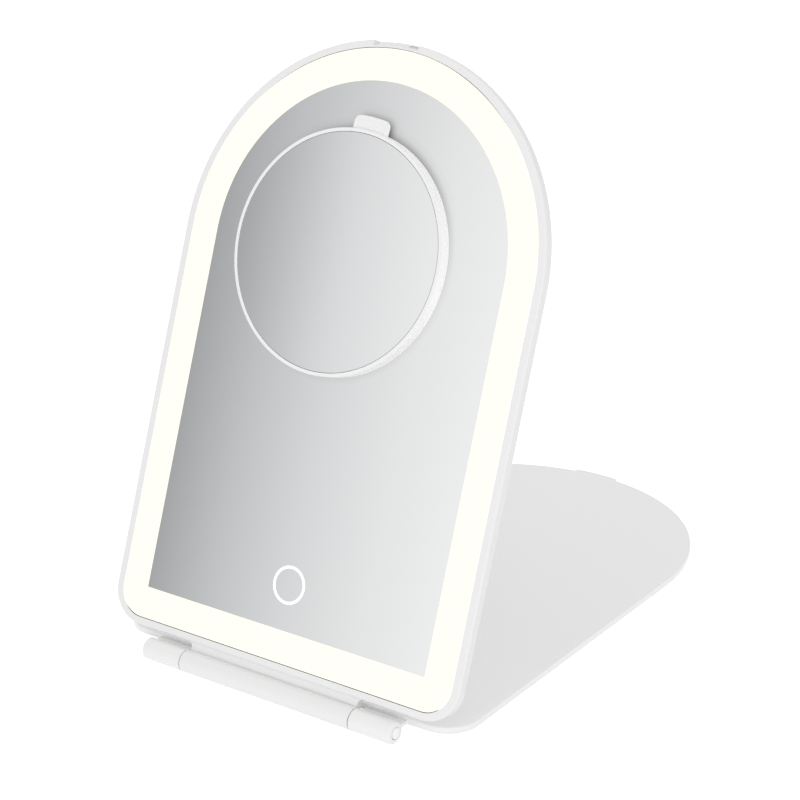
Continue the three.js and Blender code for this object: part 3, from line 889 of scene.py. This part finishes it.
def make_touch_ring():
    bpy.ops.object.select_all(action="DESELECT")
    bpy.ops.mesh.primitive_circle_add(vertices=touch_steps, radius=touch_radius + touch_line / 2,
                                      fill_type="NGON", location=(0, touch_y, touch_bottom))
    ring = start("touch_line")
    pick("FACE", lambda face: True)
    bpy.ops.mesh.inset(thickness=touch_line)
    bpy.ops.mesh.delete(type="FACE")
    thicken(touch_height)
    leave()
    smooth(ring)
    dress(ring, ring_light, "panel", "touch_ring")
    lay(ring, panel_place)


def make_charge_port():
    port = make_port_block("port_socket", port_half - port_play)
    combine(port, make_scoop(), "DIFFERENCE")
    only(port)
    bpy.ops.object.mode_set(mode="EDIT")
    pick("FACE", lambda face: face.normal.y > 0.5)
    bpy.ops.mesh.inset(thickness=port_wall)
    pull(y=-port_dip)
    face_out()
    leave()
    smooth(port)
    dress(port, dark_socket, "panel", "charge_port")
    lay(port, panel_place)


# Pull tab of the magnifier: an arc end with round corners, a shallow thumb dish and soft edges
def make_tab():
    tip = magnifier_radius + tab_reach
    bpy.ops.object.select_all(action="DESELECT")
    bpy.ops.mesh.primitive_circle_add(vertices=tab_circle_steps, radius=tip, fill_type="NOTHING",
                                      location=(0, 0, tab_low))
    tab = start("tab")

    def past(vert, angle):
        return abs(math.atan2(vert.co.x, vert.co.y)) > angle

    def at_side(vert):
        return past(vert, tab_half_angle - tab_step / 2)

    def at_rim(edge):
        walls = [face for face in edge.link_faces if is_wall(face, lean=0.3)]
        return len(walls) == 1 and (edge_at_height(tab_high)(edge) or edge_at_height(tab_low)(edge))

    pick("VERT", lambda vert: past(vert, tab_half_angle + tab_step / 2))
    bpy.ops.mesh.delete(type="VERT")
    pick("VERT", at_side)
    pull(y=-(tab_reach + tab_root))
    pick_all()
    bpy.ops.mesh.edge_face_add()
    bevel("VERT", lambda vert: at_side(vert) and near(math.hypot(vert.co.x, vert.co.y), tip),
          tab_corner, segments=8)
    thicken(tab_high - tab_low)
    pick("FACE", lambda face: all(near(vert.co.z, tab_high) for vert in face.verts))
    bpy.ops.mesh.inset(thickness=tab_dish_wall)
    bpy.ops.mesh.inset(thickness=tab_dish_wall)
    slide(z=-tab_dish_depth)
    bevel("EDGE", at_rim, tab_round, segments=4)
    leave()
    lay(tab, Matrix.Rotation(math.radians(-tab_angle), 4, "Z"))
    return tab


# Magnifier: spun case with its floor and pull tab, and the mirror in it
def make_magnifier_case():
    middle = ((magnifier_radius + magnifier_bore) / 2, 0, (magnifier_low + magnifier_high) / 2)
    bpy.ops.object.select_all(action="DESELECT")
    bpy.ops.mesh.primitive_plane_add(size=1, location=middle, rotation=(math.pi / 2, 0, 0))
    case = start("magnifier_housing", (magnifier_radius - magnifier_bore, magnifier_high - magnifier_low, 1))
    for radius, height, amount, segments in (
        (magnifier_radius, magnifier_high, magnifier_front_round, 4),
        (magnifier_radius, magnifier_low, magnifier_back_round, 2),
        (magnifier_bore, magnifier_high, magnifier_bore_round, 3),
    ):
        bevel("VERT", lambda vert: near(vert.co.x, radius) and near(vert.co.z, height), amount, segments)
    pick_all()
    bpy.ops.mesh.delete(type="ONLY_FACE")
    pick_all()
    bpy.ops.mesh.spin(steps=magnifier_steps, angle=2 * math.pi, center=(0, 0, 0), axis=(0, 0, 1))
    face_out()
    leave()

    bpy.ops.object.select_all(action="DESELECT")
    bpy.ops.mesh.primitive_cylinder_add(vertices=magnifier_steps, radius=magnifier_bore + floor_overlap,
                                        depth=floor_thickness,
                                        location=(0, 0, floor_low + floor_thickness / 2))
    disc = start("magnifier_floor")
    leave()
    combine(case, disc, "UNION")
    combine(case, make_tab(), "UNION")
    smooth(case, shell_crease)
    dress(case, magnifier_front, "magnifier", "magnifier_case")

    def looks_out(face):
        return face.normal.x * face.center.x + face.normal.y * face.center.y > 0

    # The outer wall of the magnifier gets its painted light and shade
    paint(case, magnifier_side_painted_light_and_shade, lambda face: is_wall(face, lean=0.12) and looks_out(face))
    # The inner walls of the ring get painted shade
    paint(case, magnifier_rebate, lambda face: is_wall(face, lean=0.12) and not looks_out(face))
    lay(case, magnifier_place)
    keep_from_reflections(case)


def make_magnifier_mirror():
    bpy.ops.object.select_all(action="DESELECT")
    bpy.ops.mesh.primitive_circle_add(vertices=magnifier_steps, radius=magnifier_bore - lens_play,
                                      fill_type="NGON", location=(0, 0, lens_top - lens_thickness))
    glass = start("magnifier_glass")
    thicken(lens_thickness)
    bevel("EDGE", edge_at_height(lens_top), lens_round, segments=2)
    leave()
    smooth(glass)
    dress(glass, magnifier_silver_painted_reflection, "magnifier", "magnifier_mirror")
    # The edge of the magnifier's glass gets painted shade
    paint(glass, magnifier_rebate, lambda face: face.normal.z < 0.98)
    lay(glass, magnifier_place)
    keep_from_reflections(glass)


# Hidden and small parts keep their solids and get their finish
def finish_hidden_parts():
    magnifier_magnets = ["magnifier_magnet_" + str(number) for number in (1, 2, 3, 4)]
    for material, names in (
        (white_cover, ["cover_liner"]),
        (white_board, ["led_strip"]),
        (cell_foil, ["battery"]),
        (green_board, ["touch_sensor", "control_board"]),
        (steel, ["hinge_pin_left", "hinge_pin_right", "keeper_plate"]),
        (bronze, ["friction_sleeve_left", "friction_sleeve_right"]),
        (nickel, ["cover_magnet_left", "cover_magnet_right", "closure_magnet_left", "closure_magnet_right"]),
        (nickel, magnifier_magnets),
        (pad_silicone, ["foot_left", "foot_right", "magnifier_pad"]),
    ):
        for name in names:
            for slot in frame["nodes"][name].material_slots:
                slot.material = material
    for name in ["magnifier_pad"] + magnifier_magnets:
        keep_from_reflections(frame["nodes"][name])


make_cover()
make_barrel_cap(-1, "left")
make_barrel_cap(1, "right")
make_housing()
make_lit_band()
make_mirror()
make_touch_ring()
make_charge_port()
make_magnifier_case()
make_magnifier_mirror()
finish_hidden_parts()


# White floor that shows the object's shadow and throws a plain light back on it
def make_floor():
    bpy.ops.object.select_all(action="DESELECT")
    bpy.ops.mesh.primitive_plane_add(size=12, location=(0, 0, -0.2 * mm))
    floor = bpy.context.active_object
    floor.name = "floor"
    recipe = Recipe("floor_white")
    lighting = recipe.add("ShaderNodeAddShader", {}, {
        0: recipe.shader("BsdfDiffuse", grey(0.45)),
        1: recipe.shader("Emission", white, Strength=0.46),
    })
    showing = recipe.add("ShaderNodeAddShader", {}, {
        0: recipe.shader("BsdfDiffuse", grey(0.8)),
        1: recipe.shader("Emission", white, Strength=0.62),
    })
    recipe.output(recipe.add("ShaderNodeMixShader", {}, {0: recipe.is_seen(), 1: lighting, 2: showing}))
    floor.data.materials.append(recipe.material)


# Grey card that shows only in reflections, where it gives the mirrors their tone from left to right
card_stops = [(0.0, (0.905, 0.905, 0.9)), (0.25, (0.826, 0.826, 0.826)), (0.5, (0.716, 0.716, 0.721)),
              (0.75, (0.57, 0.575, 0.58)), (1.0, (0.385, 0.39, 0.394))]
card_half = 160 * mm


def make_card():
    bpy.ops.object.select_all(action="DESELECT")
    bpy.ops.mesh.primitive_plane_add(size=2.4)
    card = bpy.context.active_object
    card.name = "grey_card"
    recipe = Recipe("card_shade")
    values = {"Value": recipe.along("X"), "From Min": -card_half, "From Max": card_half}
    across = recipe.add("ShaderNodeMapRange", {}, values)
    ramp = recipe.add("ShaderNodeValToRGB", {"stops": card_stops}, {"Fac": across})
    recipe.output(recipe.shader("Emission", ramp, Strength=1.0))
    card.data.materials.append(recipe.material)
    over_panel = Matrix.Translation((-0.55, 0.08, 0.8))
    card.matrix_world = panel_place @ over_panel @ Matrix.Rotation(math.pi, 4, "Y")
    card.visible_camera = False
    card.visible_diffuse = False
    card.visible_transmission = False
    card.visible_shadow = False


def make_world():
    world = bpy.data.worlds.new("studio")
    bpy.context.scene.world = world
    world.use_nodes = True
    recipe = Recipe("studio", world.node_tree)
    lighting = recipe.shader("Background", white, Strength=0.88)
    showing = recipe.shader("Background", white, Strength=1.0)
    mixed = recipe.add("ShaderNodeMixShader", {}, {0: recipe.is_seen(), 1: lighting, 2: showing})
    recipe.output(mixed, "World")


softbox_aim = Vector((0.0, -0.05, 0.12))


def make_softbox(name, spot, size, energy):
    lamp = bpy.data.lights.new(name, "AREA")
    lamp.shape = "SQUARE"
    lamp.size = size
    lamp.energy = energy
    box = bpy.data.objects.new(name, lamp)
    bpy.context.collection.objects.link(box)
    box.visible_glossy = False
    away = Vector(spot) - softbox_aim
    box.matrix_world = Matrix.Translation(spot) @ away.to_track_quat("Z", "Y").to_matrix().to_4x4()


# The camera stands where the fit to the photograph puts it
def make_camera():
    lens = bpy.data.cameras.new("photo_camera")
    lens.sensor_width = 36.0
    lens.lens = 95.4933
    lens.clip_start = 0.05
    lens.clip_end = 30.0
    camera = bpy.data.objects.new("photo_camera", lens)
    bpy.context.collection.objects.link(camera)
    camera.location = (0.46007, -0.68729, 0.40838)
    camera.rotation_euler = (math.radians(68.56356), math.radians(0.57151), math.radians(34.93994))
    bpy.context.scene.camera = camera


make_floor()
make_card()
make_world()
make_softbox("key_softbox", spot=(-0.68, -1.45, 0.3), size=0.5, energy=0.2)
make_softbox("fill_softbox", spot=(0.85, -1.25, 0.2), size=0.6, energy=4.2)
make_camera()
bpy.context.scene.view_settings.view_transform = "Standard"
